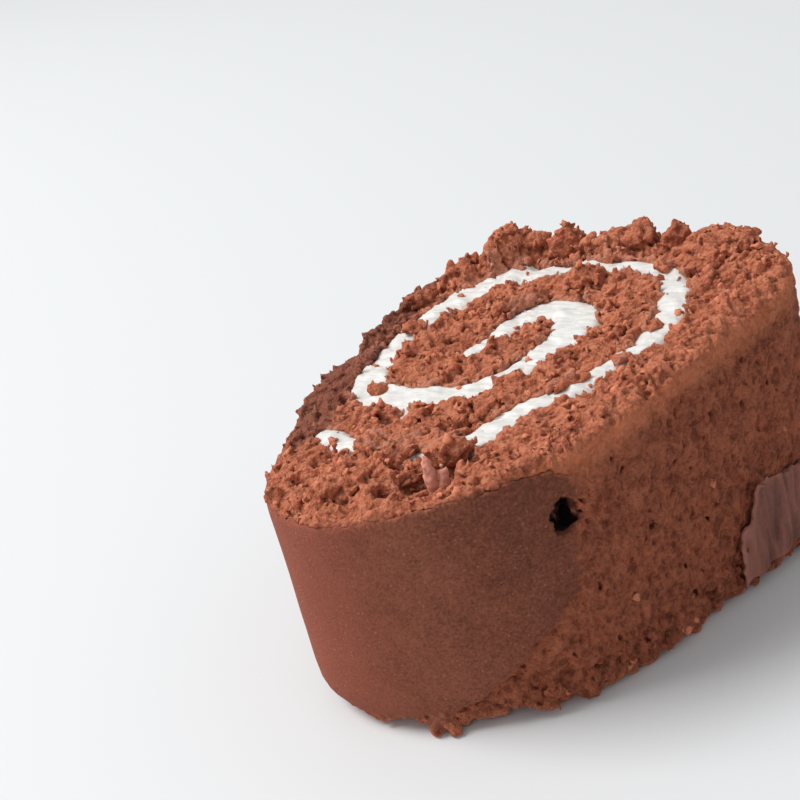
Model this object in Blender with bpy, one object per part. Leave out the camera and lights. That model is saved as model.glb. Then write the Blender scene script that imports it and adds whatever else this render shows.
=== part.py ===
"""A thick slice of chocolate swiss roll, lying on its lower cut face with the spiral up.

Two pieces: the rolled sponge, and the strip of cream that is rolled up in it and runs
through the slice from cut face to cut face. Lengths are in millimetres until they meet
a mesh, +Z is up and the origin is the bottom centre of the outline's box.
"""
import math

import bmesh
import bpy
from mathutils import Matrix, Vector, noise

MM = 0.001

# The slice: a rolled sheet squashed a little out of round, cut slightly wedge-shaped.
MID_HEIGHT = 40.5          # height of the upper cut face over the origin
WEDGE_ANGLE = 7.0          # degrees by which the upper cut rises towards +X
# Corners of the squashed outline, counter-clockwise: x, y and rounding radius.
OUTLINE_CORNERS = (
    (-48.0, -27.5, 20.0),  # the fold nearest the seam
    (-8.0, -42.5, 42.0),
    (49.0, -6.0, 15.0),    # the far right fold
    (28.0, 21.0, 40.0),
    (-7.0, 44.5, 20.0),    # the rear fold
    (-33.5, 11.5, 22.0),
)
OUTLINE_STEP = 2.6         # longest straight piece along a rounded corner

# The rims where the side meets the two cut faces: a small radius all round, which grows
# to a larger one towards one direction from the origin and fades over a spread, in degrees.
UPPER_RIM = {"least": 1.2, "most": 4.2, "towards": 318.0, "spread": 70.0}  # worn crumb
LOWER_RIM = {"least": 1.4, "most": 5.5, "towards": 222.0, "spread": 75.0}  # skin wraps round it
ROUND_STEPS = 4

# The cream's centre line from the seam inwards: x, y and the thickness there.
CREAM_ROUTE = (
    (-32.5, -4.0, 2.4), (-29.0, -10.5, 2.8), (-22.5, -18.5, 2.4), (-16.0, -23.0, 2.8),
    (-10.0, -23.5, 4.8), (-3.0, -20.5, 3.8), (5.0, -20.0, 2.8), (11.5, -17.5, 3.2),
    (17.5, -14.0, 4.0), (22.3, -8.0, 4.6), (24.8, -1.5, 3.8), (24.8, 5.0, 3.6),
    (22.0, 11.3, 3.8), (16.0, 17.3, 3.8), (9.0, 22.6, 3.8), (2.0, 26.0, 4.6),
    (-5.0, 26.2, 5.2), (-12.0, 22.2, 5.4), (-18.1, 16.2, 5.2), (-22.8, 10.0, 5.0),
    (-24.0, 4.0, 5.8), (-20.8, -1.0, 5.6), (-15.5, -5.6, 4.6), (-8.5, -8.6, 3.8),
    (-1.0, -7.8, 4.6), (6.0, -4.0, 6.0), (9.6, 1.2, 7.2), (7.8, 7.0, 6.0),
    (2.0, 8.8, 4.4), (-3.0, 5.6, 3.2), (-8.0, 3.0, 2.2),
)
CREAM_STEP = 1.7           # spacing of the points worked out along the centre line
END_STEPS = 5              # sides of the half-round end of the strip
SLOT_GAP = 0.3             # clearance between the cream and the sponge around it

# Torn crumb left standing on the upper cut face: centre x, y, then half sizes x, y, z.
CRUMB_LUMPS = (
    (5.8, 30.6, 6.6, 4.4, 6.6),
    (-2.5, 33.4, 5.2, 3.0, 2.6),
    (21.0, 20.4, 8.2, 3.6, 3.0),
    (34.4, 7.0, 4.6, 7.0, 2.4),
)
# The hollow torn out beside the skin, given in the same way.
TORN_HOLLOW = (-19.0, -30.2, 6.6, 3.6, 3.8)
LUMP_SUBDIVISIONS = 3
LUMP_ROUGHNESS = 0.28      # unevenness of torn crumb, as a share of its size
LUMP_GRAIN = 1.7           # ups and downs across one lump

# The burst bubble in the skin.
BUBBLE_ANGLE = 265.7       # direction from the origin
BUBBLE_BELOW_TOP = 9.0
BUBBLE_HALF_SIZE = (1.8, 3.2, 2.3)
BUBBLE_TURN = 12.0         # degrees by which it leans in the side

CUTTER_REACH = 30.0        # how far the slot cutter runs past both cut faces


def clear_scene():
    for thing in list(bpy.data.objects):
        bpy.data.objects.remove(thing, do_unlink=True)


def make_material(name, colour, roughness):
    material = bpy.data.materials.new(name)
    material.use_nodes = True
    shader = material.node_tree.nodes["Principled BSDF"]
    shader.inputs["Base Color"].default_value = (*colour, 1.0)
    shader.inputs["Roughness"].default_value = roughness
    shader.inputs["Metallic"].default_value = 0.0
    material.diffuse_color = (*colour, 1.0)
    return material


def top_height(x):
    return MID_HEIGHT + math.tan(math.radians(WEDGE_ANGLE)) * x


def rounded_corner(before, corner, after, radius):
    """Points along the arc that replaces one corner of the outline."""
    to_before = (before - corner).normalized()
    to_after = (after - corner).normalized()
    half_angle = to_before.angle(to_after) / 2.0
    arc_centre = corner + (to_before + to_after).normalized() * radius / math.sin(half_angle)
    start = corner + to_before * radius / math.tan(half_angle) - arc_centre
    turn = math.pi - 2.0 * half_angle
    steps = max(2, math.ceil(radius * turn / OUTLINE_STEP))
    return [arc_centre + Matrix.Rotation(turn * i / steps, 2) @ start for i in range(steps + 1)]


def slice_outline():
    """The slice's outline, counter-clockwise, with its box centred on the origin."""
    corners = [Vector(corner[:2]) for corner in OUTLINE_CORNERS]
    points = []
    for i, (x, y, radius) in enumerate(OUTLINE_CORNERS):
        after = corners[(i + 1) % len(corners)]
        points += rounded_corner(corners[i - 1], corners[i], after, radius)
    middle = Vector([(min(p[k] for p in points) + max(p[k] for p in points)) / 2.0 for k in (0, 1)])
    return [point - middle for point in points]


def inward_directions(points):
    directions = []
    for i, point in enumerate(points):
        along = (points[(i + 1) % len(points)] - points[i - 1]).normalized()
        directions.append(Vector((-along.y, along.x)))
    return directions


def rim_radius(rim, point):
    """Rounding of a rim beside this point of the outline."""
    angle = math.degrees(math.atan2(point.y, point.x)) - rim["towards"]
    away = abs((angle + 180.0) % 360.0 - 180.0) / rim["spread"]
    share = math.cos(min(away, 1.0) * math.pi / 2.0) ** 2
    return rim["least"] + (rim["most"] - rim["least"]) * share


def body_rings():
    """Rings of points from the lower cut face up the side to the upper cut face."""
    outline = slice_outline()
    inward = inward_directions(outline)
    rings = []
    for i in range(ROUND_STEPS + 1):
        turn = math.pi / 2.0 * i / ROUND_STEPS
        ring = []
        for point, inside in zip(outline, inward):
            radius = rim_radius(LOWER_RIM, point)
            place = point + inside * radius * (1.0 - math.sin(turn))
            ring.append(Vector((place.x, place.y, radius * (1.0 - math.cos(turn)))))
        rings.append(ring)
    for i in range(ROUND_STEPS + 1):
        turn = math.pi / 2.0 * i / ROUND_STEPS
        ring = []
        for point, inside in zip(outline, inward):
            radius = rim_radius(UPPER_RIM, point)
            place = point + inside * radius * (1.0 - math.cos(turn))
            height = top_height(place.x) - radius * (1.0 - math.sin(turn))
            ring.append(Vector((place.x, place.y, height)))
        rings.append(ring)
    return rings


def add_ring(bm, points):
    """A closed loop of vertices and edges; returns its vertices and its edges."""
    verts = [bm.verts.new(point * MM) for point in points]
    edges = [bm.edges.new((verts[i - 1], verts[i])) for i in range(len(verts))]
    return verts, edges


def finish_mesh(bm, name, material, smooth_angle):
    bmesh.ops.recalc_face_normals(bm, faces=bm.faces)
    mesh = bpy.data.meshes.new(name)
    bm.to_mesh(mesh)
    bm.free()
    mesh.materials.append(material)
    mesh.shade_smooth()
    mesh.set_sharp_from_angle(angle=math.radians(smooth_angle))
    thing = bpy.data.objects.new(name, mesh)
    bpy.context.scene.collection.objects.link(thing)
    return thing


def make_body(material):
    """The rolled sponge before anything is cut out of it."""
    bm = bmesh.new()
    rings = [add_ring(bm, ring) for ring in body_rings()]
    for lower, upper in zip(rings, rings[1:]):
        bmesh.ops.bridge_loops(bm, edges=lower[1] + upper[1])
    bm.faces.new(rings[0][0])
    bm.faces.new(rings[-1][0])
    return finish_mesh(bm, "sponge", material, 40.0)


def curve_point(a, b, c, d, t):
    """A Catmull-Rom curve between b and c; works on x, y and thickness together."""
    return 0.5 * (2.0 * b + (c - a) * t + (2.0 * a - 5.0 * b + 4.0 * c - d) * t ** 2
                  + (3.0 * b - a - 3.0 * c + d) * t ** 3)


def cream_line():
    """Evenly close points along the cream's centre line, each x, y and thickness."""
    route = [Vector(point) for point in CREAM_ROUTE]
    route = [2.0 * route[0] - route[1]] + route + [2.0 * route[-1] - route[-2]]
    line = []
    for a, b, c, d in zip(route, route[1:], route[2:], route[3:]):
        steps = max(2, round((c.xy - b.xy).length / CREAM_STEP))
        line += [curve_point(a, b, c, d, i / steps) for i in range(steps)]
    return line + [route[-2]]


def strip_outline(extra):
    """The cream's outline in plan, grown by extra all round."""
    line = cream_line()
    left, right = [], []
    for i, point in enumerate(line):
        before = line[max(i - 1, 0)]
        after = line[min(i + 1, len(line) - 1)]
        along = (after.xy - before.xy).normalized()
        side = Vector((-along.y, along.x)) * (point.z / 2.0 + extra)
        left.append(point.xy + side)
        right.append(point.xy - side)
    return left + half_round(left[-1], right[-1]) + right[::-1] + half_round(right[0], left[0])


def half_round(start, end):
    """Points of the half circle that closes one end of the strip, turning clockwise."""
    middle = (start + end) / 2.0
    arm = start - middle
    return [middle + Matrix.Rotation(-math.pi * i / END_STEPS, 2) @ arm for i in range(1, END_STEPS)]


def make_strip(name, material, extra, below, above):
    """The spiral strip as a solid, from below the lower cut face to above the upper one."""
    bm = bmesh.new()
    outline = strip_outline(extra)
    low_verts, low_edges = add_ring(bm, [Vector((p.x, p.y, -below)) for p in outline])
    top_verts, top_edges = add_ring(bm, [Vector((p.x, p.y, top_height(p.x) + above)) for p in outline])
    bmesh.ops.bridge_loops(bm, edges=low_edges + top_edges)
    bm.faces.new(low_verts)
    bm.faces.new(top_verts)
    return finish_mesh(bm, name, material, 40.0)


def make_rounded_lump(name, material, centre, half_sizes, turn=Matrix.Identity(4)):
    """An uneven rounded body, wherever crumb stands up or is torn out."""
    bm = bmesh.new()
    bmesh.ops.create_icosphere(bm, subdivisions=LUMP_SUBDIVISIONS, radius=1.0)
    for vert in bm.verts:
        rough = noise.noise(vert.co * LUMP_GRAIN + centre)
        vert.co *= 1.0 + LUMP_ROUGHNESS * min(rough, 0.0)
    stretch = Matrix.Diagonal((*[size * MM for size in half_sizes], 1.0))
    bmesh.ops.transform(bm, matrix=Matrix.Translation(centre * MM) @ turn @ stretch, verts=bm.verts)
    return finish_mesh(bm, name, material, 40.0)


def on_top_face(x, y):
    return Vector((x, y, top_height(x)))


def bubble_place():
    """Centre of the burst bubble on the side, and the matrix that faces it outwards."""
    direction = Vector((math.cos(math.radians(BUBBLE_ANGLE)), math.sin(math.radians(BUBBLE_ANGLE))))
    nearest = max(slice_outline(), key=lambda point: point.normalized().dot(direction))
    centre = Vector((nearest.x, nearest.y, top_height(nearest.x) - BUBBLE_BELOW_TOP))
    facing = Matrix.Rotation(math.radians(BUBBLE_ANGLE - 270.0), 4, "Z")
    return centre, facing @ Matrix.Rotation(math.radians(BUBBLE_TURN), 4, "Y")


def apply_boolean(target, tool, operation):
    tool.hide_render = True
    tool.display_type = "WIRE"
    modifier = target.modifiers.new(f"{operation.lower()}_{tool.name}", "BOOLEAN")
    modifier.operation = operation
    modifier.solver = "EXACT"
    modifier.object = tool


def make_sponge(material):
    sponge = make_body(material)
    for number, (x, y, *half_sizes) in enumerate(CRUMB_LUMPS, start=1):
        lump = make_rounded_lump(f"crumb_lump_{number}", material, on_top_face(x, y), half_sizes)
        apply_boolean(sponge, lump, "UNION")
    x, y, *half_sizes = TORN_HOLLOW
    hollow = make_rounded_lump("torn_hollow", material, on_top_face(x, y), half_sizes)
    apply_boolean(sponge, hollow, "DIFFERENCE")
    centre, facing = bubble_place()
    bubble = make_rounded_lump("burst_bubble", material, centre, BUBBLE_HALF_SIZE, facing)
    apply_boolean(sponge, bubble, "DIFFERENCE")
    slot = make_strip("cream_slot", material, SLOT_GAP, CUTTER_REACH, CUTTER_REACH)
    apply_boolean(sponge, slot, "DIFFERENCE")
    return sponge


def make_cream(material):
    return make_strip("cream", material, 0.0, 0.0, 0.0)


def main():
    clear_scene()
    make_sponge(make_material("sponge", (0.25, 0.085, 0.05), 0.9))
    make_cream(make_material("cream", (0.82, 0.80, 0.74), 0.6))


main()
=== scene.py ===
import math

import bmesh
import bpy
import numpy as np
from mathutils import Matrix, Vector


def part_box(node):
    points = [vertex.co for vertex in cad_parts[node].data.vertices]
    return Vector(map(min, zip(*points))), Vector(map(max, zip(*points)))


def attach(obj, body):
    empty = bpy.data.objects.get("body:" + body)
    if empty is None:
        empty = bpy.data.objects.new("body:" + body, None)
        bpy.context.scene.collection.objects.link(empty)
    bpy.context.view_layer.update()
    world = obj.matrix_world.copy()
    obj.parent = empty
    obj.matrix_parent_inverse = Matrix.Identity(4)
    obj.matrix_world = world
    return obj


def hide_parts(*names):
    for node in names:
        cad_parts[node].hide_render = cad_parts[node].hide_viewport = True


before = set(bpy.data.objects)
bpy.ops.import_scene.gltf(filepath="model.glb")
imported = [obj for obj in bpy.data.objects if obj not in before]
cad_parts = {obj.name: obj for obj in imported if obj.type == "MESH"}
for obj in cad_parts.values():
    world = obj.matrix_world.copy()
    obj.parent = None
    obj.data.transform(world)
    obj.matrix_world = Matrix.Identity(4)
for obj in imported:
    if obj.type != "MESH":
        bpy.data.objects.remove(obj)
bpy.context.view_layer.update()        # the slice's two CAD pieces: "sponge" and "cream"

mm = 0.001
cadLow, cadHigh = (Vector(corner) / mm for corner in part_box("sponge"))
topFace = {"middle": 40.5, "rise": math.tan(math.radians(7.0))}   # the sloping upper cut, in mm


# Helpers for node trees, objects and meshes. Trees work in mm, meshes in metres.

def addNode(tree, kind, inputs=None, **settings):
    node = tree.nodes.new(kind)
    for name, value in settings.items():
        setattr(node, name, value)
    for socket, value in (inputs or {}).items():
        if isinstance(value, bpy.types.NodeSocket):
            tree.links.new(value, node.inputs[socket])
        else:
            node.inputs[socket].default_value = value
    return node


def calc(tree, operation, *values):
    return addNode(tree, "ShaderNodeMath", dict(enumerate(values)), operation=operation).outputs[0]


def vectorCalc(tree, operation, *values):
    node = addNode(tree, "ShaderNodeVectorMath", dict(enumerate(values)), operation=operation)
    return node.outputs["Value" if operation in ("DOT_PRODUCT", "LENGTH") else "Vector"]


def total(tree, *values):
    result = values[0]
    for value in values[1:]:
        result = calc(tree, "ADD", result, value)
    return result


def product(tree, *values):
    result = values[0]
    for value in values[1:]:
        result = calc(tree, "MULTIPLY", result, value)
    return result


def opposite(tree, value):
    return calc(tree, "SUBTRACT", 1.0, value)


def ramp(tree, value, low, high, toLow=0.0, toHigh=1.0):
    return addNode(tree, "ShaderNodeMapRange", {0: value, 1: low, 2: high, 3: toLow, 4: toHigh},
                   interpolation_type="SMOOTHSTEP").outputs[0]


def between(tree, share, first, second):
    return addNode(tree, "ShaderNodeMix", {0: share, 2: first, 3: second}).outputs[0]


def parts(tree, vector):
    return addNode(tree, "ShaderNodeSeparateXYZ", {0: vector}).outputs


def joined(tree, *values):
    return addNode(tree, "ShaderNodeCombineXYZ", dict(enumerate(values))).outputs[0]


def placed(tree, point, size, seed):
    sizes = size if isinstance(size, tuple) else (size,) * 3
    return vectorCalc(tree, "MULTIPLY_ADD", point, tuple(1.0 / s for s in sizes), (seed, seed * 0.7, seed * 1.3))


def swirl(tree, point, size, detail=1.0, rough=0.5, seed=0.0):
    # soft noise from about -1 to 1
    shape = addNode(tree, "ShaderNodeTexNoise", {"Vector": placed(tree, point, size, seed), "Scale": 1.0,
                                                 "Detail": detail, "Roughness": rough})
    return calc(tree, "MULTIPLY_ADD", shape.outputs[0], 2.0, -1.0)


def cells(tree, point, size, seed=0.0):
    return addNode(tree, "ShaderNodeTexVoronoi", {"Vector": placed(tree, point, size, seed), "Scale": 1.0,
                                                  "Randomness": 1.0})


def carve(tree, solid, hole):
    # both are distances, negative inside; what is inside the hole goes
    return calc(tree, "MAXIMUM", solid, calc(tree, "MULTIPLY", hole, -1.0))


def addObject(name, data):
    piece = bpy.data.objects.new(name, data)
    bpy.context.scene.collection.objects.link(piece)
    return piece


def meshWithModifiers(piece):
    return bpy.data.meshes.new_from_object(piece.evaluated_get(bpy.context.evaluated_depsgraph_get()))


def dropObject(piece):
    bpy.data.objects.remove(piece, do_unlink=True)


def newGeometryTree(name, *kinds):
    # a tree that puts out geometry, after any inputs named in kinds
    tree = bpy.data.node_groups.new(name, "GeometryNodeTree")
    for kind in kinds:
        tree.interface.new_socket(kind, in_out="INPUT", socket_type="NodeSocketGeometry")
    tree.interface.new_socket("Geometry", in_out="OUTPUT", socket_type="NodeSocketGeometry")
    return tree


def mergedCopy(name, node):
    piece = addObject(name, node.data.copy())
    bm = bmesh.new()
    bm.from_mesh(piece.data)
    bmesh.ops.remove_doubles(bm, verts=bm.verts, dist=0.000001)
    bm.to_mesh(piece.data)
    bm.free()
    return piece


# The plain form: sponge and cream joined, the guide that everything else is grown round.

formShape = {"swell": 0.45, "voxel": 0.9, "fillingReach": 8.0}


def makeForm():
    form = mergedCopy("sliceForm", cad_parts["sponge"])
    filling = mergedCopy("fillingForm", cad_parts["cream"])
    swell = filling.modifiers.new("swell", "DISPLACE")   # closes the gap round the cream
    swell.strength = formShape["swell"] * mm
    swell.mid_level = 0.0
    join = form.modifiers.new("join", "BOOLEAN")
    join.operation = "UNION"
    join.object = filling
    even = form.modifiers.new("even", "REMESH")
    even.mode = "VOXEL"
    even.voxel_size = formShape["voxel"] * mm
    mesh = meshWithModifiers(form)
    dropObject(form)
    dropObject(filling)
    return addObject("sliceForm", mesh)


def makeFillingGuide():
    # the cream's outline, drawn out past both cut faces, so that distance to it is measured sideways
    guide = mergedCopy("fillingGuide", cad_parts["cream"])
    for vert in guide.data.vertices:
        side = 1.0 if vert.co.z > cadHigh.z * mm / 2.0 else -1.0
        vert.co.z += side * formShape["fillingReach"] * mm
    return guide


form = makeForm()
filling = makeFillingGuide()
print("form ready:", len(form.data.vertices), "points")


# Fields: each gives the distance to a surface in mm, negative inside, at any point of space.

def surfaceOf(tree, thing):
    return addNode(tree, "GeometryNodeObjectInfo", {"Object": thing}).outputs["Geometry"]


def nearestOn(tree, thing, position, value, kind="FLOAT"):
    node = addNode(tree, "GeometryNodeSampleNearestSurface",
                   {"Mesh": surfaceOf(tree, thing), "Sample Position": position}, data_type=kind)
    tree.links.new(value, node.inputs["Value"])
    return node.outputs[0]


def distanceTo(tree, thing, position):
    # the distance, and the way the nearest surface faces, which tells the inside from the outside
    near = addNode(tree, "GeometryNodeProximity",
                   {"Geometry": surfaceOf(tree, thing), "Sample Position": position})
    normal = addNode(tree, "GeometryNodeInputNormal").outputs[0]
    facing = nearestOn(tree, thing, position, normal, "FLOAT_VECTOR")
    away = vectorCalc(tree, "SUBTRACT", position, near.outputs["Position"])
    side = calc(tree, "SIGN", vectorCalc(tree, "DOT_PRODUCT", away, facing))
    return product(tree, near.outputs["Distance"], side, 1.0 / mm), facing


def inMillimetres(tree, position):
    return vectorCalc(tree, "MULTIPLY", position, (1.0 / mm,) * 3)


def blob(tree, point, centre, sizes, roughness):
    # a rough ellipsoid
    away = vectorCalc(tree, "DIVIDE", vectorCalc(tree, "SUBTRACT", point, centre), sizes)
    distance = calc(tree, "MULTIPLY", calc(tree, "SUBTRACT", vectorCalc(tree, "LENGTH", away), 1.0), min(sizes))
    return calc(tree, "ADD", distance, roughness)


# Skin is the smooth baked outside. Its reach is how far inside its torn edge a point lies, in mm.
skinShape = {"frontReach": -0.8, "frontCurve": 0.045, "curveFrom": 26.0, "frontSoft": 0.55,
             "backReach": 20.0, "backWander": 6.0, "wanderSize": 9.0,
             "topGap": (-1.0, 0.6), "topGapAt": (-27.0, -18.0), "topFall": 0.62, "fallFrom": -7.0,
             "raggedness": (2.0, 1.0), "raggedSizes": (4.0, 1.3), "fade": (-0.4, 0.4), "rise": 0.3}


def skinReach(tree, f):
    x, y, height, under = (f[name] for name in ("x", "y", "height", "under"))
    shape = skinShape
    below = calc(tree, "MAXIMUM", calc(tree, "SUBTRACT", shape["curveFrom"], height), 0.0)
    curve = calc(tree, "MULTIPLY_ADD", calc(tree, "POWER", below, 2.0), -shape["frontCurve"], shape["frontReach"])
    front = product(tree, calc(tree, "SUBTRACT", curve, x), shape["frontSoft"])
    wander = product(tree, swirl(tree, f["point"], shape["wanderSize"], 3.0, 0.6, 3.0), shape["backWander"])
    back = calc(tree, "SUBTRACT", total(tree, wander, shape["backReach"]), y)
    gap = ramp(tree, x, *shape["topGapAt"], *shape["topGap"])
    fall = product(tree, calc(tree, "MAXIMUM", total(tree, x, -shape["fallFrom"]), 0.0), shape["topFall"])
    top = calc(tree, "SUBTRACT", calc(tree, "SUBTRACT", under, gap), fall)
    return calc(tree, "MINIMUM", calc(tree, "MINIMUM", front, back), top)


# What tells one part of the surface from another. "facing" is how far it faces up or down, "cutUnder" how far
# under the upper cut it still counts as cut; along the cut's right and front edge lies a rim band smoothed by
# wear, whose crumb also gets a painted highlight.
markShape = {"bendSize": 2.0, "bend": 1.8, "facing": (0.35, 0.75), "cutUnder": (1.2, -0.4),
             "wornUnder": (6.5, 2.5), "wornRight": (-16.0, 0.0), "wornFront": (4.0, -4.0)}
# The crumb. A pair is for the side and then for the cut faces: heights in mm.
crumbShape = {
    "unevenness": (0.35, 0.7), "clods": (0.55, 1.9), "clumps": (0.85, 1.6), "grains": (0.6, 1.1),
    "grit": (0.22, 0.42), "spikes": (0.1, 2.2), "spikesFrom": 0.12,
    "sizes": {"unevenness": 14.0, "clods": 5.0, "clumps": 2.7, "grains": (1.15, 1.15, 1.4), "grit": 0.62,
              "spikes": 1.9},
    "wornKeeps": 0.62,              # share of that relief left on the worn rim
    "tornAdds": 0.9, "tornRight": (-4.0, -14.0), "tornFront": (-12.0, -20.0),   # clods added where the cut tore
    "lowClods": 2.1, "lowGrains": 1.3, "low": (11.0, 2.5),                      # added low on the side
    "pitSize": (1.35, 1.35, 2.1), "pitLeast": -0.14, "pitSpread": (0.5, 0.3), "pitSlope": 1.4, "pitDepth": 1.7,
    "pitFewer": {"skin": 6.0, "worn": 0.3},
    "hollows": (((-20.4, -27.5, 38.0), (3.6, 2.2, 3.2)), ((-25.3, -29.8, 37.2), (1.6, 1.8, 2.4)),
                ((-28.5, -21.0, 37.4), (1.2, 1.2, 1.9)), ((-13.0, -30.0, 38.8), (1.5, 2.0, 2.6)),
                ((-14.0, -18.6, 38.8), (2.4, 1.4, 1.8)), ((29.5, 0.6, 44.4), (4.6, 1.2, 2.6)),
                ((-7.3, -31.4, 39.6), (1.6, 0.9, 1.6))),
    "clodsOnTop": (((-22.4, 2.4, 37.7), (1.8, 1.3, 1.2)), ((18.4, -11.8, 42.7), (1.9, 1.3, 1.0)),
                   ((-31.0, -24.0, 37.2), (4.5, 3.2, 1.8)), ((-15.0, -26.5, 39.3), (4.0, 2.2, 1.9)),
                   ((-24.8, -15.2, 37.9), (3.0, 3.2, 1.6)), ((-20.4, -19.8, 38.4), (3.4, 2.8, 1.7)),
                   ((-16.2, -22.8, 38.9), (2.8, 2.4, 1.6)), ((-14.5, 19.5, 39.0), (2.2, 1.5, 1.2)),
                   ((12.4, -18.2, 42.2), (2.2, 0.8, 0.8)), ((4.0, -18.8, 41.1), (3.4, 1.2, 1.0)),
                   ((25.4, 6.4, 43.8), (1.5, 1.6, 1.0)), ((-7.6, -7.6, 39.8), (1.6, 1.0, 0.9)),
                   ((14.0, 26.5, 43.4), (3.4, 2.4, 3.4)), ((25.0, 18.5, 44.6), (2.6, 2.4, 3.0)),
                   ((30.0, 14.0, 44.8), (2.4, 2.0, 2.8)), ((38.0, 4.0, 45.6), (2.4, 3.2, 1.6)),
                   ((-12.0, 30.0, 39.4), (3.0, 2.0, 1.6)), ((3.0, 12.5, 41.6), (5.0, 1.8, 1.7)),
                   ((14.0, 12.0, 42.9), (4.0, 2.2, 1.8)), ((-14.0, 11.0, 39.4), (3.6, 2.2, 1.5))),
    "bubble": ((-2.3, -37.6, 30.6), (2.4, 5.2, 2.8)), "bubbleRagged": 2.0,
    "clodsAtBase": (((-25.8, -34.6, 2.0), (2.6, 1.9, 2.4)), ((-22.4, -35.0, 2.8), (2.2, 1.5, 2.6)),
                    ((-24.4, -36.0, 1.3), (1.4, 1.2, 1.5)), ((-8.6, -35.4, 1.8), (1.5, 1.3, 1.8)),
                    ((-17.0, -35.2, 2.6), (2.4, 1.5, 2.2))),
}
# How the crumb parts over the cream: widths in mm.
channelShape = {"floor": 2.6, "width": 0.3, "ragged": 1.6, "dragged": 3.0, "fine": 1.1, "dragAngle": -41.0,
                "raggedSize": 3.2, "draggedSize": (3.4, 0.75, 1.0), "fineSize": 0.8,
                # places where more cream shows: middle, reach, by how much
                "wider": (((4.6, 4.2), 4.5, 1.5), ((12.3, -4.2), 3.5, 1.2), ((21.8, -11.4), 4.0, 1.2))}


def startField(tree, position):
    # the values that every field and the painting read
    f = {"position": position}
    f["point"] = point = inMillimetres(tree, position)
    warp = addNode(tree, "ShaderNodeTexNoise",
                   {"Vector": point, "Scale": 1.0 / markShape["bendSize"], "Detail": 1.0}).outputs["Color"]
    f["bent"] = vectorCalc(tree, "MULTIPLY_ADD", warp, (markShape["bend"],) * 3, point)
    f["depth"], facing = distanceTo(tree, form, position)
    f["x"], f["y"], f["height"] = parts(tree, point)
    slope = calc(tree, "MULTIPLY_ADD", f["x"], topFace["rise"], topFace["middle"])
    f["under"] = calc(tree, "SUBTRACT", slope, f["height"])      # how far under the upper cut
    flat = ramp(tree, calc(tree, "ABSOLUTE", parts(tree, facing)[2]), *markShape["facing"])
    f["cut"] = calc(tree, "MAXIMUM", flat, ramp(tree, f["under"], *markShape["cutUnder"]))   # 1 on both cut faces
    (broad, fine), (broadSize, fineSize) = skinShape["raggedness"], skinShape["raggedSizes"]
    ragged = total(tree, skinReach(tree, f), product(tree, swirl(tree, point, broadSize, 2.0), broad),
                   product(tree, swirl(tree, point, fineSize), fine))
    f["skin"] = product(tree, ramp(tree, ragged, *skinShape["fade"]), opposite(tree, flat))
    f["worn"] = product(tree, ramp(tree, f["under"], *markShape["wornUnder"]), opposite(tree, flat),
                        ramp(tree, f["x"], *markShape["wornRight"]), ramp(tree, f["y"], *markShape["wornFront"]))
    return f


def strokePoint(tree, point):
    # the point measured along and across the way the knife dragged
    angle = math.radians(channelShape["dragAngle"])
    along = vectorCalc(tree, "DOT_PRODUCT", point, (math.cos(angle), math.sin(angle), 0.0))
    across = vectorCalc(tree, "DOT_PRODUCT", point, (-math.sin(angle), math.cos(angle), 0.0))
    return joined(tree, along, across, 0.0)


def reliefField(tree, f, plan):
    # the sponge's torn and cut surface, with the skin standing a little proud of it
    point, bent, cut = f["point"], f["bent"], f["cut"]
    shape, sizes = crumbShape, crumbShape["sizes"]
    offSkin = opposite(tree, f["skin"])
    kept = product(tree, offSkin, between(tree, f["worn"], 1.0, shape["wornKeeps"]))

    def relief(name, height):
        return product(tree, height, between(tree, cut, *shape[name]), kept)

    clods = swirl(tree, bent, sizes["clods"], 2.0, 0.55, 3.0)
    clumps = calc(tree, "SUBTRACT", cells(tree, bent, sizes["clumps"], 1.0).outputs["Distance"], 0.5)
    f["grains"] = calc(tree, "SUBTRACT", cells(tree, bent, sizes["grains"], 5.0).outputs["Distance"], 0.45)
    f["grit"] = swirl(tree, point, sizes["grit"], 1.0, 0.5, 15.0)
    spike = calc(tree, "SUBTRACT", swirl(tree, bent, sizes["spikes"], 1.0, 0.5, 11.0), shape["spikesFrom"])
    spike = calc(tree, "MAXIMUM", spike, 0.0)
    uneven = product(tree, swirl(tree, point, sizes["unevenness"]), between(tree, cut, *shape["unevenness"]))
    solid = total(tree, f["depth"], uneven,
                  relief("clods", clods), relief("clumps", clumps), relief("grains", f["grains"]),
                  relief("grit", f["grit"]), relief("spikes", product(tree, spike, -1.0)),
                  product(tree, f["skin"], -skinShape["rise"]))
    if "top" in plan:
        torn = product(tree, cut, ramp(tree, f["x"], *shape["tornRight"]), ramp(tree, f["y"], *shape["tornFront"]))
        return total(tree, solid, product(tree, clods, torn, shape["tornAdds"]))
    low = product(tree, ramp(tree, f["height"], *shape["low"]), opposite(tree, cut), offSkin)
    return total(tree, solid, product(tree, clods, low, shape["lowClods"]),
                 product(tree, f["grains"], low, shape["lowGrains"]))


def pitted(tree, f, solid):
    # small pits left by bubbles, drawn out along the roll
    shape = crumbShape
    pits = cells(tree, f["bent"], shape["pitSize"], 9.0)
    chance = parts(tree, pits.outputs["Color"])[0]
    radius = calc(tree, "MULTIPLY_ADD", chance, between(tree, f["cut"], *shape["pitSpread"]), shape["pitLeast"])
    pit = product(tree, calc(tree, "SUBTRACT", pits.outputs["Distance"], radius), shape["pitSlope"])
    fewer = [product(tree, f[mark], amount) for mark, amount in shape["pitFewer"].items()]
    floor = calc(tree, "SUBTRACT", -shape["pitDepth"], f["depth"])
    return carve(tree, solid, calc(tree, "MAXIMUM", total(tree, pit, *fewer), floor))


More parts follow.
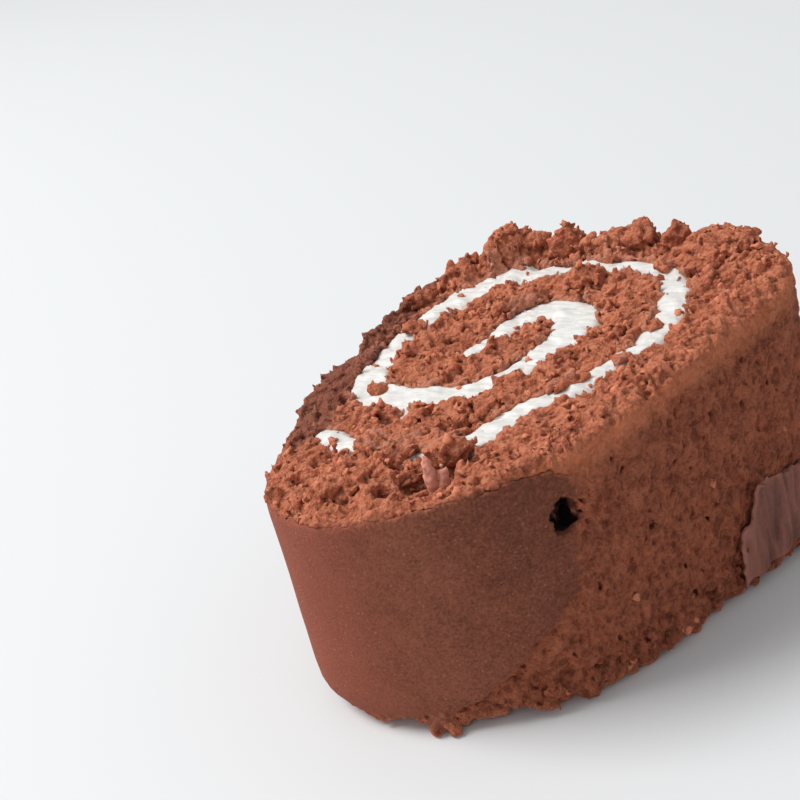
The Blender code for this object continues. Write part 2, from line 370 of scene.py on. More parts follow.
def clodded(tree, f, solid, clods, hollows):
    # lumps and hollows of their own; the bend moves every point by half its reach on average
    rough = product(tree, swirl(tree, f["point"], 1.6, 2.0, 0.6), 0.9)
    crumbly = total(tree, rough, product(tree, f["grains"], 0.9), product(tree, f["grit"], 0.35))

    def lump(centre, sizes, roughness):
        return blob(tree, f["bent"], tuple(c + markShape["bend"] / 2.0 for c in centre), sizes, roughness)

    for centre, sizes in clods:
        solid = calc(tree, "MINIMUM", solid, lump(centre, sizes, crumbly))
    for centre, sizes in hollows:
        solid = carve(tree, solid, lump(centre, sizes, rough))
    return solid


def channelled(tree, f, solid):
    # the crumb parts over the cream at both cut faces
    shape = channelShape
    band = distanceTo(tree, filling, f["position"])[0]
    ragged = swirl(tree, f["point"], shape["raggedSize"], 2.0, 0.6, 7.0)
    dragged = swirl(tree, strokePoint(tree, f["point"]), shape["draggedSize"], 2.0, 0.6, 2.0)
    fine = swirl(tree, f["point"], shape["fineSize"])
    edge = total(tree, band, product(tree, ragged, shape["ragged"]), product(tree, dragged, shape["dragged"]),
                 product(tree, fine, shape["fine"]), -shape["width"])
    flatPoint = joined(tree, f["x"], f["y"], 0.0)
    for middle, reach, amount in shape["wider"]:
        away = vectorCalc(tree, "LENGTH", vectorCalc(tree, "SUBTRACT", flatPoint, (*middle, 0.0)))
        edge = total(tree, edge, ramp(tree, away, 0.0, reach, -amount, 0.0))
    channel = calc(tree, "MAXIMUM", edge, calc(tree, "SUBTRACT", -shape["floor"], f["depth"]))
    offCut = calc(tree, "MULTIPLY_ADD", f["cut"], -20.0, 10.0)      # far outside wherever there is no cut
    channel = calc(tree, "MAXIMUM", channel, offCut)
    return carve(tree, solid, channel)


# The sponge is made in overlapping pieces, each on a grid as fine as its surface needs. Each keeps what lies
# on its own side of a few borders, and there it sinks a little under its neighbour.
spongeCuts = {"overlap": 0.2, "onSkin": 4.6, "topDepth": (3.8, 5.4), "baseHeight": (2.6, 4.2),
              "split": (-3.0, -1.0), "back": (5.0, 6.6)}
spongePieces = {
    "crumbTopLeft": {"voxel": 0.31, "top": True, "left": True, "x": (-46.0, -0.8), "z": (34.6, 44.6)},
    "crumbTopRight": {"voxel": 0.3, "top": True, "x": (-3.2, 46.0), "z": (34.6, 48.6)},
    "crumbFront": {"voxel": 0.36, "front": True, "y": (-40.4, 7.1), "z": (-0.6, 43.4)},
    "crumbBack": {"voxel": 0.42, "back": True, "y": (4.5, 40.4), "z": (2.2, 43.0)},
    "crumbBase": {"voxel": 0.48, "base": True, "z": (-0.6, 4.4)},
}


def keepBelow(tree, solid, value, borders):
    start, end = borders
    sunk = total(tree, solid, product(tree, ramp(tree, value, start, end), spongeCuts["overlap"]))
    return calc(tree, "MAXIMUM", sunk, calc(tree, "SUBTRACT", value, end))


def keepAbove(tree, solid, value, borders):
    return keepBelow(tree, solid, calc(tree, "MULTIPLY", value, -1.0), (-borders[1], -borders[0]))


def spongeField(tree, position, plan):
    f = startField(tree, position)
    solid = reliefField(tree, f, plan)
    if "base" not in plan:
        solid = pitted(tree, f, solid)
    if "top" in plan:
        solid = clodded(tree, f, channelled(tree, f, solid), crumbShape["clodsOnTop"], crumbShape["hollows"])
    if "base" in plan:
        solid = channelled(tree, f, solid)
    if "front" in plan or "base" in plan:
        solid = clodded(tree, f, solid, crumbShape["clodsAtBase"], ())
    if "front" in plan:
        centre, sizes = crumbShape["bubble"]
        ragged = product(tree, swirl(tree, f["point"], 1.5, 2.0, 0.6, 5.0), crumbShape["bubbleRagged"])
        solid = carve(tree, solid, blob(tree, f["point"], centre, sizes, ragged))
    solid = calc(tree, "MAXIMUM", solid, calc(tree, "MULTIPLY", f["height"], -1.0))   # it rests flat
    rim = calc(tree, "MULTIPLY_ADD", f["skin"], spongeCuts["onSkin"], f["under"])
    if "top" in plan:
        keepSide = keepBelow if "left" in plan else keepAbove
        return keepBelow(tree, keepSide(tree, solid, f["x"], spongeCuts["split"]), rim, spongeCuts["topDepth"])
    if "base" in plan:
        return keepBelow(tree, solid, f["height"], spongeCuts["baseHeight"])
    keepSide = keepBelow if "front" in plan else keepAbove
    solid = keepAbove(tree, keepSide(tree, solid, f["y"], spongeCuts["back"]), rim, spongeCuts["topDepth"])
    if "front" in plan:
        # here the skin reaches down to the table
        low = calc(tree, "MULTIPLY_ADD", f["skin"], spongeCuts["onSkin"], f["height"])
        return keepAbove(tree, solid, low, spongeCuts["baseHeight"])
    return keepAbove(tree, solid, f["height"], spongeCuts["baseHeight"])


# The cream: a ribbon a little under the cut faces, tucked under the crumb along both its edges.
creamShape = {"voxel": 0.48, "z": (-0.6, 48.6), "tuck": 2.6, "sink": 0.6, "streaks": 1.0, "waves": 0.9,
              "scrapes": 2.4, "scrapesFrom": 0.3, "edgeDip": 0.8, "edge": (-0.3, 1.3), "lift": 0.1}


def creamField(tree, position, plan):
    f = startField(tree, position)
    band = distanceTo(tree, filling, position)[0]
    stroke = strokePoint(tree, f["point"])
    streaks = product(tree, swirl(tree, stroke, (5.0, 0.8, 1.0), 2.0, 0.6), creamShape["streaks"])
    scrape = calc(tree, "SUBTRACT", swirl(tree, stroke, (3.0, 1.2, 1.0), 1.0, 0.5, 4.0),
                  creamShape["scrapesFrom"])
    scrape = product(tree, calc(tree, "MAXIMUM", scrape, 0.0), creamShape["scrapes"])
    waves = product(tree, swirl(tree, f["point"], 5.0), creamShape["waves"])
    dip = product(tree, ramp(tree, band, *creamShape["edge"]), creamShape["edgeDip"])
    surface = total(tree, f["depth"], creamShape["sink"], streaks, waves, dip, scrape)
    solid = calc(tree, "MAXIMUM", surface, total(tree, band, -creamShape["tuck"]))
    return calc(tree, "MAXIMUM", solid, calc(tree, "MULTIPLY_ADD", f["height"], -1.0, creamShape["lift"]))


# A strip of baked skin that has come loose, low at the right: a thin folded shell, lifted along its left edge.
flapShape = {"voxel": 0.3, "x": (18.0, 46.0), "y": (-29.0, 8.0), "z": (-0.6, 22.0), "start": (22.9, -23.0),
             "along": (0.84, 0.54), "lean": 0.6, "leanFrom": 9.0, "top": 18.8, "topFall": 0.2, "end": 4.5,
             "taperFrom": 17.0, "taper": 0.75,
             "offset": 0.35, "half": 0.4, "folds": 1.9, "lift": 0.8, "ragged": 1.5}


def flapField(tree, position, plan):
    shape = flapShape
    point = inMillimetres(tree, position)
    depth = distanceTo(tree, form, position)[0]
    x, y, height = parts(tree, point)
    along = total(tree, product(tree, total(tree, x, -shape["start"][0]), shape["along"][0]),
                  product(tree, total(tree, y, -shape["start"][1]), shape["along"][1]))
    ragged = product(tree, swirl(tree, point, 2.4, 3.0, 0.6, 3.0), shape["ragged"])
    lean = product(tree, calc(tree, "MAXIMUM", total(tree, height, -shape["leanFrom"]), 0.0), shape["lean"])
    left = calc(tree, "SUBTRACT", total(tree, lean, ragged), along)
    taper = product(tree, calc(tree, "MAXIMUM", total(tree, along, -shape["taperFrom"]), 0.0), shape["taper"])
    top = total(tree, height, -shape["top"], product(tree, along, shape["topFall"]), taper, ragged)
    end = total(tree, y, -shape["end"], product(tree, ragged, 2.0))
    folds = product(tree, swirl(tree, point, (3.0, 3.0, 20.0), 2.0, 0.5, 6.0), shape["folds"])
    lift = ramp(tree, left, -2.6, 0.2, 0.0, shape["lift"])
    centre = total(tree, folds, lift, shape["offset"])
    shell = calc(tree, "SUBTRACT", calc(tree, "ABSOLUTE", calc(tree, "SUBTRACT", depth, centre)), shape["half"])
    low = calc(tree, "MULTIPLY_ADD", height, -1.0, product(tree, swirl(tree, point, 2.0, 1.0, 0.5, 9.0), 0.5))
    edge = calc(tree, "MAXIMUM", calc(tree, "MAXIMUM", left, top), calc(tree, "MAXIMUM", end, low))
    solid = calc(tree, "MAXIMUM", shell, edge)
    return calc(tree, "MAXIMUM", solid, calc(tree, "MULTIPLY", height, -1.0))


# Torn shards that stand at the front of the upper cut: middle, half sizes and lean of each, in mm.
shardShape = {"voxel": 0.2, "x": (-24.0, -12.0), "y": (-37.5, -28.0), "z": (36.0, 44.0), "ragged": 0.3,
              "foot": 0.5, "shards": (((-18.6, -32.6, 38.4), (0.85, 0.7, 4.6), -0.04),
                                      ((-17.0, -32.8, 38.4), (0.8, 0.6, 2.5), 0.15))}


def shardField(tree, position, plan):
    point = inMillimetres(tree, position)
    height = parts(tree, point)[2]
    rough = total(tree, swirl(tree, point, 1.6, 2.0, 0.6), swirl(tree, point, 0.6))
    ragged = product(tree, rough, shardShape["ragged"])
    solid = height      # starts as everything under the table, where no shard reaches
    for centre, sizes, lean in shardShape["shards"]:
        raised = total(tree, height, -centre[2])
        leaned = vectorCalc(tree, "SUBTRACT", point, joined(tree, product(tree, raised, lean), 0.0, 0.0))
        solid = calc(tree, "MINIMUM", solid, blob(tree, leaned, centre, sizes, ragged))
    return calc(tree, "MAXIMUM", solid, calc(tree, "SUBTRACT", plan["z"][0] + plan["foot"], height))


gridMargin = 2.6            # mm that a grid reaches past the CAD where its plan sets no span
gridAdaptivity = 0.02       # joins a few triangles where the surface is flat


def slanted(tree, position, amount):
    # slides everything up towards the higher side, so that a level grid follows the slanting cut
    x = parts(tree, position)[0]
    return vectorCalc(tree, "MULTIPLY_ADD", joined(tree, x, x, x), (0.0, 0.0, amount), position)


def meshFromField(name, field, plan):
    # the surface where the field is zero, grown on a grid over the plan's part of the slice
    tree = newGeometryTree(name)
    voxel = plan["voxel"]
    spans = (plan.get("x", (cadLow.x - gridMargin, cadHigh.x + gridMargin)),
             plan.get("y", (cadLow.y - gridMargin, cadHigh.y + gridMargin)), plan["z"])
    slope = topFace["rise"] if "top" in plan else 0.0
    steps = [math.ceil((high - low) / voxel) for low, high in spans]
    here = slanted(tree, addNode(tree, "GeometryNodeInputPosition").outputs[0], slope)
    cube = addNode(tree, "GeometryNodeVolumeCube", {
        "Density": calc(tree, "MULTIPLY", field(tree, here, plan), -1.0), "Background": -5.0,
        "Min": tuple(low * mm for low, high in spans),
        "Max": tuple((spans[i][0] + steps[i] * voxel) * mm for i in range(3)),
        "Resolution X": steps[0], "Resolution Y": steps[1], "Resolution Z": steps[2]})
    shell = addNode(tree, "GeometryNodeVolumeToMesh",
                    {"Volume": cube.outputs[0], "Threshold": 0.0, "Adaptivity": gridAdaptivity},
                    resolution_mode="GRID")
    place = slanted(tree, addNode(tree, "GeometryNodeInputPosition").outputs[0], slope)
    moved = addNode(tree, "GeometryNodeSetPosition", {"Geometry": shell.outputs[0], "Position": place})
    addNode(tree, "NodeGroupOutput", {0: moved.outputs[0]})
    holder = addObject(name, bpy.data.meshes.new(name))
    holder.modifiers.new("grow", "NODES").node_group = tree
    mesh = meshWithModifiers(holder)
    dropObject(holder)
    return mesh


def largestIsland(mesh):
    # every point takes the lowest number among its neighbours until each island has one number
    edges = np.empty(len(mesh.edges) * 2, dtype=np.int64)
    mesh.edges.foreach_get("vertices", edges)
    edges = edges.reshape(-1, 2)
    label = np.arange(len(mesh.vertices))
    while True:
        new = label.copy()
        lowest = np.minimum(label[edges[:, 0]], label[edges[:, 1]])
        np.minimum.at(new, edges[:, 0], lowest)
        np.minimum.at(new, edges[:, 1], lowest)
        new = new[new]
        if np.array_equal(new, label):
            break
        label = new
    biggest = np.bincount(label).argmax()
    bm = bmesh.new()
    bm.from_mesh(mesh)
    bm.verts.ensure_lookup_table()
    bmesh.ops.delete(bm, geom=[bm.verts[i] for i in np.nonzero(label != biggest)[0]], context="VERTS")
    bm.to_mesh(mesh)
    bm.free()
    return mesh


def paintTree():
    # stores what the materials need on every point of a finished mesh
    tree = newGeometryTree("paint", "Geometry")
    geometry = addNode(tree, "NodeGroupInput").outputs[0]
    f = startField(tree, addNode(tree, "GeometryNodeInputPosition").outputs[0])
    normal = addNode(tree, "GeometryNodeInputNormal").outputs[0]

    def hollowness(rounds):
        soft = addNode(tree, "GeometryNodeBlurAttribute", {"Iterations": rounds}, data_type="FLOAT_VECTOR")
        tree.links.new(f["position"], soft.inputs["Value"])
        rise = vectorCalc(tree, "SUBTRACT", soft.outputs[0], f["position"])
        return product(tree, vectorCalc(tree, "DOT_PRODUCT", rise, normal), 1.0 / mm)

    values = {"skin": f["skin"], "cut": f["cut"], "worn": f["worn"], "depth": f["depth"],
              "band": distanceTo(tree, filling, f["position"])[0],
              "fineHollow": hollowness(3), "wideHollow": hollowness(24)}
    for name, value in values.items():
        geometry = addNode(tree, "GeometryNodeStoreNamedAttribute",
                           {"Geometry": geometry, "Name": name, "Value": value},
                           data_type="FLOAT", domain="POINT").outputs[0]
    addNode(tree, "NodeGroupOutput", {0: geometry})
    return tree


def painted(piece, tree):
    piece.modifiers.new("paint", "NODES").node_group = tree
    mesh = meshWithModifiers(piece)
    piece.modifiers.clear()
    piece.data = mesh
    mesh.shade_smooth()
    return piece


def triangleCount(mesh):
    mesh.calc_loop_triangles()
    return len(mesh.loop_triangles)


paint = paintTree()
sponge = []
for name, plan in spongePieces.items():
    piece = addObject(name, largestIsland(meshFromField(name, spongeField, plan)))
    sponge.append(painted(piece, paint))
    print(name, "grown:", triangleCount(piece.data), "triangles")
cream = addObject("creamSpiral", meshFromField("creamSpiral", creamField, creamShape))
painted(cream, paint)
print("cream grown:", triangleCount(cream.data), "triangles")
flap = painted(addObject("skinFlap", largestIsland(meshFromField("skinFlap", flapField, flapShape))), paint)
shards = painted(addObject("tornShards", meshFromField("tornShards", shardField, shardShape)), paint)
print("flap and shards grown:", triangleCount(flap.data), triangleCount(shards.data), "triangles")


# Loose crumbs: small uneven grains that lie on the torn crumb and cling to its lower edge.
looseShape = {"onTop": 0.34, "onSide": 0.002, "lowEdge": 0.4, "onCream": 0.16, "apart": 0.9,
              "radius": (0.28, 0.72), "roughness": 0.6, "grain": 0.7, "inside": 0.35}


def looseTree():
    tree = newGeometryTree("loose", "Geometry")
    ground = addNode(tree, "NodeGroupInput").outputs[0]

    def kept(name):
        return addNode(tree, "GeometryNodeInputNamedAttribute", {"Name": name}, data_type="FLOAT").outputs[0]

    point = inMillimetres(tree, addNode(tree, "GeometryNodeInputPosition").outputs[0])
    height = parts(tree, point)[2]
    upward = ramp(tree, parts(tree, addNode(tree, "GeometryNodeInputNormal").outputs[0])[2], 0.1, 0.7)
    lowEdge = product(tree, ramp(tree, height, 5.0, 1.5), ramp(tree, height, 0.4, 1.2), looseShape["lowEdge"])
    patchy = ramp(tree, swirl(tree, point, 5.0, 2.0), -0.35, 0.45)
    amount = total(tree, product(tree, upward, kept("cut"), looseShape["onTop"]), looseShape["onSide"], lowEdge)
    amount = product(tree, amount, patchy, opposite(tree, kept("skin")), opposite(tree, kept("worn")),
                     ramp(tree, kept("depth"), -1.8, -0.8), ramp(tree, height, 0.4, 1.2),
                     ramp(tree, kept("band"), -1.4, -0.2, looseShape["onCream"], 1.0))
    spread = addNode(tree, "GeometryNodeDistributePointsOnFaces",
                     {"Mesh": ground, "Distance Min": looseShape["apart"] * mm, "Density Max": 1.0 / mm ** 2,
                      "Density Factor": amount, "Seed": 4}, distribute_method="POISSON")
    grain = addNode(tree, "GeometryNodeMeshIcoSphere", {"Radius": 1.0 * mm, "Subdivisions": 2})
    small, large = looseShape["radius"]
    size = addNode(tree, "FunctionNodeRandomValue", {"Min": 0.0, "Max": 1.0, "Seed": 2}, data_type="FLOAT")
    radius = ramp(tree, calc(tree, "POWER", size.outputs[1], 2.0), 0.0, 1.0, small, large)
    turn = addNode(tree, "FunctionNodeRandomValue", {"Min": (0.0, 0.0, 0.0), "Max": (6.3, 6.3, 6.3), "Seed": 3},
                   data_type="FLOAT_VECTOR")
    stretch = addNode(tree, "FunctionNodeRandomValue", {"Min": (0.75, 0.75, 0.75), "Max": (1.25, 1.25, 1.25),
                                                        "Seed": 5}, data_type="FLOAT_VECTOR")
    scale = vectorCalc(tree, "MULTIPLY", stretch.outputs[0], joined(tree, radius, radius, radius))
    laid = addNode(tree, "GeometryNodeInstanceOnPoints",
                   {"Points": spread.outputs["Points"], "Instance": grain.outputs["Mesh"],
                    "Rotation": turn.outputs[0], "Scale": scale})
    real = addNode(tree, "GeometryNodeRealizeInstances", {"Geometry": laid.outputs[0]})
    lumpy = addNode(tree, "ShaderNodeTexNoise",
                    {"Vector": point, "Scale": 1.0 / looseShape["grain"], "Detail": 2.0})
    push = vectorCalc(tree, "MULTIPLY_ADD", lumpy.outputs["Color"], (2.0, 2.0, 2.0), (-1.0, -1.0, -1.0))
    push = vectorCalc(tree, "MULTIPLY", push, (looseShape["roughness"] * 2.0 * mm,) * 3)
    shaped = addNode(tree, "GeometryNodeSetPosition", {"Geometry": real.outputs[0], "Offset": push})
    addNode(tree, "NodeGroupOutput", {0: shaped.outputs[0]})
    return tree


def makeLooseCrumbs(grounds):
    bm = bmesh.new()
    for ground in grounds:
        bm.from_mesh(ground.data)
    mesh = bpy.data.meshes.new("looseCrumbs")
    bm.to_mesh(mesh)
    bm.free()
    loose = addObject("looseCrumbs", mesh)
    loose.modifiers.new("scatter", "NODES").node_group = looseTree()
    loose.data = meshWithModifiers(loose)
    loose.modifiers.clear()
    return loose


loose = painted(makeLooseCrumbs([piece for piece in sponge if piece.name != "crumbBase"] + [cream]), paint)
print("loose crumbs:", triangleCount(loose.data), "triangles")


# Materials

def newMaterial(name, roughness):
    material = bpy.data.materials.new(name)
    material.use_nodes = True
    tree = material.node_tree
    shader = tree.nodes["Principled BSDF"]
    shader.inputs["Roughness"].default_value = roughness
    return material, tree, shader


def attribute(tree, name):
    return addNode(tree, "ShaderNodeAttribute", attribute_name=name).outputs["Fac"]


def blend(tree, share, first, second):
    node = addNode(tree, "ShaderNodeMix", data_type="RGBA")
    for socket, value in ((0, share), (6, first), (7, second)):
        if isinstance(value, bpy.types.NodeSocket):
            tree.links.new(value, node.inputs[socket])
        else:
            node.inputs[socket].default_value = value if socket == 0 else (*value, 1.0)
    return node.outputs[2]


def objectPoint(tree):
    return inMillimetres(tree, addNode(tree, "ShaderNodeTexCoord").outputs["Object"])


def roughened(tree, shader, height, strength, reach):
    # fine relief in the shading, with its reach in mm
    bump = addNode(tree, "ShaderNodeBump", {"Strength": strength, "Distance": reach * mm, "Height": height})
    tree.links.new(bump.outputs[0], shader.inputs["Normal"])


def softInside(shader, weight, radius):
    shader.inputs["Subsurface Weight"].default_value = weight
    shader.inputs["Subsurface Radius"].default_value = radius
    shader.inputs["Subsurface Scale"].default_value = 1.0


crumbLook = {"grain": 0.5, "patch": 5.0, "deep": (0.075, 0.014, 0.007), "dull": (0.30, 0.080, 0.040),
             "bright": (0.60, 0.205, 0.110), "sunk": (0.07, 0.013, 0.007), "sideDark": (0.115, 0.024, 0.014),
             "sideLight": (0.40, 0.110, 0.054), "rim": (0.60, 0.175, 0.075), "smeared": (0.165, 0.060, 0.043),
             "creamy": (0.56, 0.27, 0.19), "black": (0.008, 0.003, 0.002),
             "specular": 0.15, "inside": (0.25, (0.0018, 0.0005, 0.0003))}
toneInputs = ("fineHollow", "wideHollow", "depth", "band", "cut")   # the painted values that the tone reads


def makeCrumbTone():
    # the colour and the fine grain of bare crumb, for every material that shows it, with painted shade in its
    # hollows
    group = bpy.data.node_groups.new("crumbTone", "ShaderNodeTree")
    group.interface.new_socket("Point", in_out="INPUT", socket_type="NodeSocketVector")
    for name in toneInputs:
        group.interface.new_socket(name, in_out="INPUT", socket_type="NodeSocketFloat")
    for name, kind in (("Color", "Color"), ("Height", "Float")):
        group.interface.new_socket(name, in_out="OUTPUT", socket_type="NodeSocket" + kind)
    inputs = addNode(group, "NodeGroupInput").outputs
    point, fine, wide, depth, band, cut = (inputs[i] for i in range(6))
    grain = total(group, swirl(group, point, crumbLook["grain"], 3.0, 0.65),
                  product(group, cells(group, point, 0.55, 2.0).outputs["Distance"], -0.7), 0.3)
    patch = swirl(group, point, crumbLook["patch"], 3.0, 0.6, 4.0)
    fleck = parts(group, cells(group, point, 0.7, 6.0).outputs["Color"])[1]
    # painted shade: the tone also drops in the fine hollows
    light = total(group, grain, product(group, patch, 1.2), fleck, product(group, fine, -2.6), -0.3)
    colour = blend(group, ramp(group, light, -1.0, 1.0), crumbLook["dull"], crumbLook["bright"])
    # painted shade: the crumb darkens in its hollows
    dark = ramp(group, total(group, product(group, fine, 2.4), wide), 0.0, 0.9)
    colour = blend(group, product(group, dark, 0.85), colour, crumbLook["deep"])
    # painted shade: crumb sunk far under the form turns darker still
    colour = blend(group, product(group, ramp(group, depth, -0.7, -2.4), 0.6), colour, crumbLook["sunk"])
    # cream wiped thinly over the crumb beside it
    drift = swirl(group, point, 3.0, 3.0, 0.65, 5.0)
    wiped = total(group, band, product(group, drift, 1.6))
    wiped = product(group, ramp(group, wiped, 1.1, 0.1), ramp(group, wiped, -0.9, -0.1), cut,
                    ramp(group, depth, -2.0, -0.9), 0.42)
    colour = blend(group, wiped, colour, crumbLook["creamy"])
    # painted shade: the crumb along the left edge of the cut is darker and duller
    x, y, height = parts(group, point)
    left = total(group, product(group, x, -0.85), product(group, y, 0.5), product(group, drift, 4.0))
    left = product(group, ramp(group, left, 23.0, 27.0), ramp(group, y, -9.0, -3.0), cut, 0.72)
    colour = blend(group, left, colour, crumbLook["smeared"])
    addNode(group, "NodeGroupOutput", {0: colour, 1: grain})
    return group


def crumbTone(tree, point):
    node = addNode(tree, "ShaderNodeGroup", node_tree=toneGroup)
    tree.links.new(point, node.inputs[0])
    for name in toneInputs:
        tree.links.new(attribute(tree, name), node.inputs[name])
    return node.outputs


skinLook = {"dark": (0.118, 0.036, 0.020), "light": (0.275, 0.092, 0.054), "redder": (0.25, 0.068, 0.042),
            "fleck": (0.42, 0.19, 0.12)}


def makeSpongeMaterial():
    material, tree, shader = newMaterial("chocolateSponge", 0.9)
    point = objectPoint(tree)
    skin = attribute(tree, "skin")
    crumb, grain = crumbTone(tree, point)
    # fine pores drawn out along the roll, on the side only, pressed in by the bump and darkened as painted shade
    drift = addNode(tree, "ShaderNodeTexNoise", {"Vector": point, "Scale": 0.9, "Detail": 2.0}).outputs["Color"]
    pores = cells(tree, vectorCalc(tree, "MULTIPLY_ADD", drift, (2.2, 2.2, 2.2), point), (1.0, 1.0, 1.7), 21.0)
    spread = parts(tree, pores.outputs["Color"])[0]
    pore = ramp(tree, total(tree, pores.outputs["Distance"], product(tree, spread, -0.6)), 0.22, -0.25)
    onSide = product(tree, opposite(tree, attribute(tree, "cut")), opposite(tree, attribute(tree, "worn")))
    pore = product(tree, pore, onSide, opposite(tree, skin))
    # uneven red and brown on the bare side
    mottle = total(tree, swirl(tree, point, (1.7, 1.7, 2.6), 4.0, 0.7, 2.0), product(tree, grain, 0.2),
                   product(tree, swirl(tree, point, 5.0, 2.0, 0.5, 6.0), 0.5))
    mottled = blend(tree, ramp(tree, mottle, -0.55, 0.55), crumbLook["sideDark"], crumbLook["sideLight"])
    crumb = blend(tree, product(tree, onSide, 0.62), crumb, mottled)
    crumb = blend(tree, product(tree, pore, 0.4), crumb, crumbLook["deep"])
    # painted highlight: the rim band along the cut's right and front edge is tinted a lighter orange
    crumb = blend(tree, product(tree, attribute(tree, "worn"), 0.4), crumb, crumbLook["rim"])
    speckle = swirl(tree, point, 0.42, 2.0, 0.6, 8.0)
    cloud = swirl(tree, point, 7.0, 3.0, 0.6, 4.0)
    blotch = swirl(tree, point, 1.6, 2.0, 0.6, 12.0)
    # painted light: the skin turns lighter towards its left end, where the light falls
    warmer = ramp(tree, parts(tree, point)[0], -8.0, -24.0, -0.2, 0.35)
    tone = total(tree, product(tree, speckle, 1.7), product(tree, cloud, 0.7), product(tree, blotch, 0.6), warmer)
    baked = blend(tree, ramp(tree, tone, -1.1, 1.3), skinLook["dark"], skinLook["light"])
    leftEnd = ramp(tree, parts(tree, point)[0], -22.0, -40.0)
    baked = blend(tree, product(tree, leftEnd, 0.7), baked, skinLook["redder"])
    fleck = cells(tree, point, 0.8, 13.0)
    dot = product(tree, ramp(tree, fleck.outputs["Distance"], 0.3, 0.12),
                  ramp(tree, parts(tree, fleck.outputs["Color"])[2], 0.6, 0.95), 0.4)
    baked = blend(tree, dot, baked, skinLook["fleck"])
    colour = blend(tree, skin, crumb, baked)
    # painted shade: the deepest pits on the side and the burst bubble in the skin are painted a very dark colour
    centre, sizes = crumbShape["bubble"]
    fromBubble = vectorCalc(tree, "DIVIDE", vectorCalc(tree, "SUBTRACT", point, centre), sizes)
    nearBubble = ramp(tree, vectorCalc(tree, "LENGTH", fromBubble), 1.9, 1.5)
    depth = attribute(tree, "depth")
    inside = product(tree, ramp(tree, depth, -1.1, -2.5), opposite(tree, attribute(tree, "cut")))
    inside = calc(tree, "MAXIMUM", product(tree, ramp(tree, depth, -0.3, -0.9), nearBubble), inside)
    tree.links.new(blend(tree, inside, colour, crumbLook["black"]), shader.inputs["Base Color"])
    bare = total(tree, grain, product(tree, pore, -0.8), product(tree, onSide, mottle, 0.6))
    roughened(tree, shader, between(tree, skin, bare, product(tree, speckle, 0.2)), 0.9, 0.5)
    shader.inputs["Specular IOR Level"].default_value = crumbLook["specular"]
    softInside(shader, *crumbLook["inside"])
    return material


def makeLooseMaterial():
    material, tree, shader = newMaterial("looseCrumb", 0.9)
    colour, grain = crumbTone(tree, objectPoint(tree))
    tree.links.new(colour, shader.inputs["Base Color"])
    roughened(tree, shader, grain, 0.6, 0.2)
    shader.inputs["Specular IOR Level"].default_value = crumbLook["specular"]
    softInside(shader, looseShape["inside"], crumbLook["inside"][1])
    return material


flapLook = {"dark": (0.11, 0.037, 0.025), "light": (0.32, 0.110, 0.074), "edge": (0.38, 0.148, 0.105)}


def makeFlapMaterial():
    material, tree, shader = newMaterial("looseSkin", 0.75)
    point = objectPoint(tree)
    # painted shade: the loose skin darkens in its wide hollows, besides its own streaks
    streaks = total(tree, swirl(tree, point, (2.2, 2.2, 14.0), 3.0, 0.55),
                    product(tree, swirl(tree, point, 0.6, 2.0), 0.3),
                    product(tree, attribute(tree, "wideHollow"), -1.0))
    colour = blend(tree, ramp(tree, streaks, -0.7, 0.8), flapLook["dark"], flapLook["light"])
    x, y, height = parts(tree, point)
    along = total(tree, product(tree, x, flapShape["along"][0]), product(tree, y, flapShape["along"][1]))
    edge = ramp(tree, total(tree, along, product(tree, streaks, 0.8)), 11.5, 8.5)
    colour = blend(tree, product(tree, edge, 0.6), colour, flapLook["edge"])
    tree.links.new(colour, shader.inputs["Base Color"])
    roughened(tree, shader, streaks, 0.5, 0.25)
    return material


shardLook = {"shade": (0.46, 0.16, 0.10), "light": (0.70, 0.32, 0.235),
             "inside": (0.3, (0.0018, 0.0008, 0.0005))}


def makeShardMaterial():
    material, tree, shader = newMaterial("creamyCrumb", 0.8)
    point = objectPoint(tree)
    # painted shade: the shards darken in their fine hollows
    mottle = total(tree, swirl(tree, point, 1.2, 3.0, 0.6), product(tree, attribute(tree, "fineHollow"), -2.0))
    colour = blend(tree, ramp(tree, mottle, -0.6, 0.6), shardLook["shade"], shardLook["light"])
    tree.links.new(colour, shader.inputs["Base Color"])
    roughened(tree, shader, mottle, 0.5, 0.2)
    softInside(shader, *shardLook["inside"])
    return material


creamLook = {"shade": (0.56, 0.54, 0.50), "light": (0.71, 0.695, 0.665), "stain": (0.50, 0.24, 0.18),
             "inside": (0.15, (0.002, 0.0015, 0.001))}


def makeCreamMaterial():
    material, tree, shader = newMaterial("whippedCream", 0.5)
    point = objectPoint(tree)
    cloud = swirl(tree, point, 2.2, 3.0, 0.6)
    streak = swirl(tree, strokePoint(tree, point), (3.4, 0.5, 1.0), 2.0, 0.6, 4.0)
    colour = blend(tree, ramp(tree, total(tree, cloud, streak), -0.7, 0.7), creamLook["shade"], creamLook["light"])
    dragged = product(tree, ramp(tree, streak, 0.3, 0.62), attribute(tree, "cut"), 0.5)
    colour = blend(tree, dragged, colour, creamLook["stain"])
    edge = total(tree, attribute(tree, "band"), product(tree, swirl(tree, point, 1.0, 2.0), 0.8))
    colour = blend(tree, product(tree, ramp(tree, edge, 0.2, 1.3), 0.7), colour, creamLook["stain"])
    tree.links.new(colour, shader.inputs["Base Color"])
    roughened(tree, shader, cloud, 0.4, 0.2)
    softInside(shader, *creamLook["inside"])
    return material


def wear(piece, material):
    piece.data.materials.clear()
    piece.data.materials.append(material)


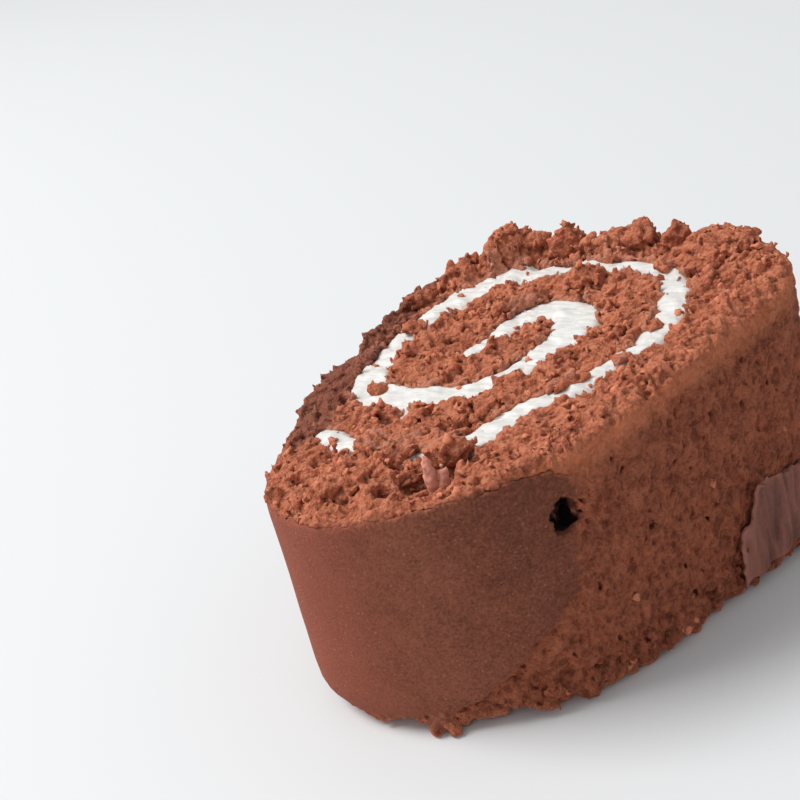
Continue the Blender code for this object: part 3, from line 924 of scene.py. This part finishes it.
toneGroup = makeCrumbTone()
spongeMaterial = makeSpongeMaterial()
for piece in sponge:
    wear(piece, spongeMaterial)
wear(loose, makeLooseMaterial())
wear(cream, makeCreamMaterial())
wear(flap, makeFlapMaterial())
wear(shards, makeShardMaterial())
dropObject(form)
dropObject(filling)
for piece, node in [(piece, "sponge") for piece in sponge + [loose, flap, shards]] + [(cream, "cream")]:
    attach(piece, "root")
    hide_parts(node)
print("painted and dressed")


# Floor, light and camera.

view = {"aim": (-19.9, 4.3, 34.1), "distance": 236.6, "elevation": 25.5, "roll": -14.8, "lens": 67.5}
studio = {"floor": (0.66, 0.665, 0.665), "floorSize": 1.5, "sky": (0.93, 0.965, 1.0), "skyStrength": 0.55,
          "lampsAim": (0.0, 0.0, 0.02),
          "key": ((-0.95, 0.24, 1.3), 0.8, 27.0), "fill": ((-0.45, -0.8, 0.5), 0.6, 0.8)}


def makeFloor():
    bm = bmesh.new()
    bmesh.ops.create_grid(bm, x_segments=2, y_segments=2, size=studio["floorSize"])
    mesh = bpy.data.meshes.new("floor")
    bm.to_mesh(mesh)
    bm.free()
    floor = addObject("floor", mesh)
    material, tree, shader = newMaterial("paleFloor", 0.6)
    shader.inputs["Base Color"].default_value = (*studio["floor"], 1.0)
    mesh.materials.append(material)


def makeLight(name, place, size, power):
    lamp = bpy.data.lights.new(name, "AREA")
    lamp.energy = power
    lamp.size = size
    light = addObject(name, lamp)
    light.location = Vector(place)
    light.rotation_euler = (Vector(studio["lampsAim"]) - light.location).to_track_quat("-Z", "Y").to_euler()


def makeCamera():
    camera = addObject("camera", bpy.data.cameras.new("camera"))
    camera.data.lens = view["lens"]
    camera.data.clip_start = 0.01
    tilt = Matrix.Rotation(math.radians(90.0 - view["elevation"]), 4, "X")
    roll = Matrix.Rotation(math.radians(view["roll"]), 4, "Z")
    place = Matrix.Translation(Vector(view["aim"]) * mm)
    camera.matrix_world = place @ tilt @ Matrix.Translation((0, 0, view["distance"] * mm)) @ roll
    bpy.context.scene.camera = camera


makeFloor()
makeLight("keyLight", *studio["key"])
makeLight("fillLight", *studio["fill"])
world = bpy.data.worlds.new("studio")
world.use_nodes = True
world.node_tree.nodes["Background"].inputs[0].default_value = (*studio["sky"], 1.0)
world.node_tree.nodes["Background"].inputs[1].default_value = studio["skyStrength"]
bpy.context.scene.world = world
makeCamera()
bpy.context.scene.view_settings.view_transform = "Standard"
